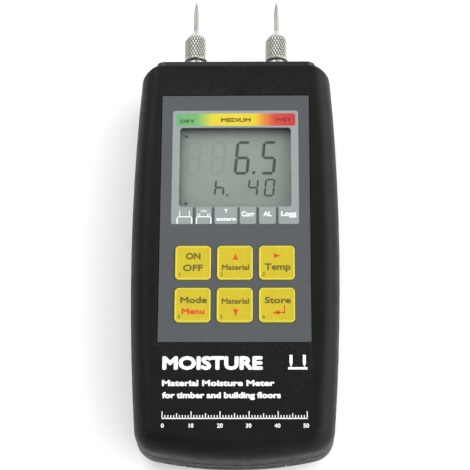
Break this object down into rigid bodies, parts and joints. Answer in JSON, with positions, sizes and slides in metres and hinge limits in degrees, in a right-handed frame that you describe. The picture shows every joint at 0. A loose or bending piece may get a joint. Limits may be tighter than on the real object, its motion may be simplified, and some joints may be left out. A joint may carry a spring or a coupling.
{
  "type": "moisture meter",
  "caption": "Hand-held pin-type moisture meter: bowed black case, display, yellow keypad, screw-on needles, fold-out stand and sliding battery cover.",
  "frame": {"origin": "middle of the bottom of the whole instrument's bounding box, needles included, with the instrument lying on its back", "axes": "+Z out of the display, +Y toward the needle tips, +X to the right of someone reading the display"},
  "size_m": [0.0714, 0.1692, 0.0262],
  "materials": {
    "case_black": "satin moulded",
    "gloss_black": "smooth moulded",
    "overlay_grey": "printed film",
    "key_yellow": "printed film",
    "clear_window": "polished",
    "lcd": "reflective liquid crystal",
    "nickel": "nickel plated",
    "steel": "bright",
    "dome_steel": "bright",
    "board_green": "solder mask",
    "film": "flexible circuit",
    "component_black": "moulded",
    "rubber": "soft",
    "foam": "closed-cell foam",
    "battery_can": "wrapped",
    "red_insulation": "insulation"
  },
  "bodies": {
    "case": {"front_shell": "case_black", "rear_shell": "case_black", "case_gasket": "rubber", "top_plate": "gloss_black", "case_screw_1": "steel", "case_screw_2": "steel", "case_screw_3": "steel", "case_screw_4": "steel", "clip_pin": "steel", "keypad_overlay": "overlay_grey", "snap_dome_1": "dome_steel", "snap_dome_2": "dome_steel", "snap_dome_3": "dome_steel", "snap_dome_4": "dome_steel", "snap_dome_5": "dome_steel", "snap_dome_6": "dome_steel", "keypad_circuit": "film", "keypad_connector": "component_black", "display_window": "clear_window", "display_frame": "component_black", "lcd_glass": "lcd", "contact_strip_upper": "rubber", "contact_strip_lower": "rubber", "main_board": "board_green", "board_screw_1": "steel", "board_screw_2": "steel", "board_screw_3": "steel", "board_screw_4": "steel", "controller_chip": "component_black", "crystal": "steel", "buzzer": "component_black", "capacitor_1": "component_black", "capacitor_2": "component_black", "interface_jack": "component_black", "probe_socket": "component_black", "battery_9v": "battery_can", "battery_pad": "foam", "battery_snap": "component_black", "battery_lead_red": "red_insulation", "battery_lead_black": "component_black", "electrode_socket_left": "nickel", "electrode_socket_right": "nickel", "socket_bush_left": "component_black", "socket_bush_right": "component_black", "socket_nut_left": "steel", "socket_nut_right": "steel"},
    "power_key": {"key_power": "key_yellow"},
    "up_key": {"key_up": "key_yellow"},
    "right_key": {"key_right": "key_yellow"},
    "menu_key": {"key_menu": "key_yellow"},
    "down_key": {"key_down": "key_yellow"},
    "store_key": {"key_store": "key_yellow"},
    "left_needle": {"electrode_needle_left": "steel"},
    "left_nut": {"knurled_nut_left": "nickel"},
    "right_needle": {"electrode_needle_right": "steel"},
    "right_nut": {"knurled_nut_right": "nickel"},
    "stand": {"stand_clip": "gloss_black"},
    "cover": {"battery_cover": "case_black"}
  },
  "joints": [
    {"name": "power_press", "type": "slide", "parent": "case", "child": "power_key", "axis": [0, 0, -1], "range_m": [0, 0.0003], "stiffness_N_per_m": 4000, "springref_m": -0.0001},
    {"name": "up_press", "type": "slide", "parent": "case", "child": "up_key", "axis": [0, 0, -1], "range_m": [0, 0.0003], "stiffness_N_per_m": 4000, "springref_m": -0.0001},
    {"name": "right_press", "type": "slide", "parent": "case", "child": "right_key", "axis": [0, 0, -1], "range_m": [0, 0.0003], "stiffness_N_per_m": 4000, "springref_m": -0.0001},
    {"name": "menu_press", "type": "slide", "parent": "case", "child": "menu_key", "axis": [0, 0, -1], "range_m": [0, 0.0003], "stiffness_N_per_m": 4000, "springref_m": -0.0001},
    {"name": "down_press", "type": "slide", "parent": "case", "child": "down_key", "axis": [0, 0, -1], "range_m": [0, 0.0003], "stiffness_N_per_m": 4000, "springref_m": -0.0001},
    {"name": "store_press", "type": "slide", "parent": "case", "child": "store_key", "axis": [0, 0, -1], "range_m": [0, 0.0003], "stiffness_N_per_m": 4000, "springref_m": -0.0001},
    {"name": "left_needle_lift", "type": "slide", "parent": "case", "child": "left_needle", "axis": [0, 1, 0], "range_m": [0, 0.004]},
    {"name": "left_nut_turn", "type": "hinge", "parent": "left_needle", "child": "left_nut", "pos_m": [-0.01445, 0.07, 0.018], "axis": [0, 1, 0], "range_deg": [0, 1800]},
    {"name": "right_needle_lift", "type": "slide", "parent": "case", "child": "right_needle", "axis": [0, 1, 0], "range_m": [0, 0.004]},
    {"name": "right_nut_turn", "type": "hinge", "parent": "right_needle", "child": "right_nut", "pos_m": [0.01445, 0.07, 0.018], "axis": [0, 1, 0], "range_deg": [0, 1800]},
    {"name": "stand_fold", "type": "hinge", "parent": "case", "child": "stand", "pos_m": [0, 0.03997, 0.00175], "axis": [1, 0, 0], "range_deg": [0, 180]},
    {"name": "cover_slide", "type": "slide", "parent": "case", "child": "cover", "axis": [0, -1, 0], "range_m": [0, 0.006]}
  ],
  "couplings": [
    {"joint": "left_nut_turn", "follows": "left_needle_lift", "rad_per_m": 7854},
    {"joint": "right_nut_turn", "follows": "right_needle_lift", "rad_per_m": 7854}
  ]
}
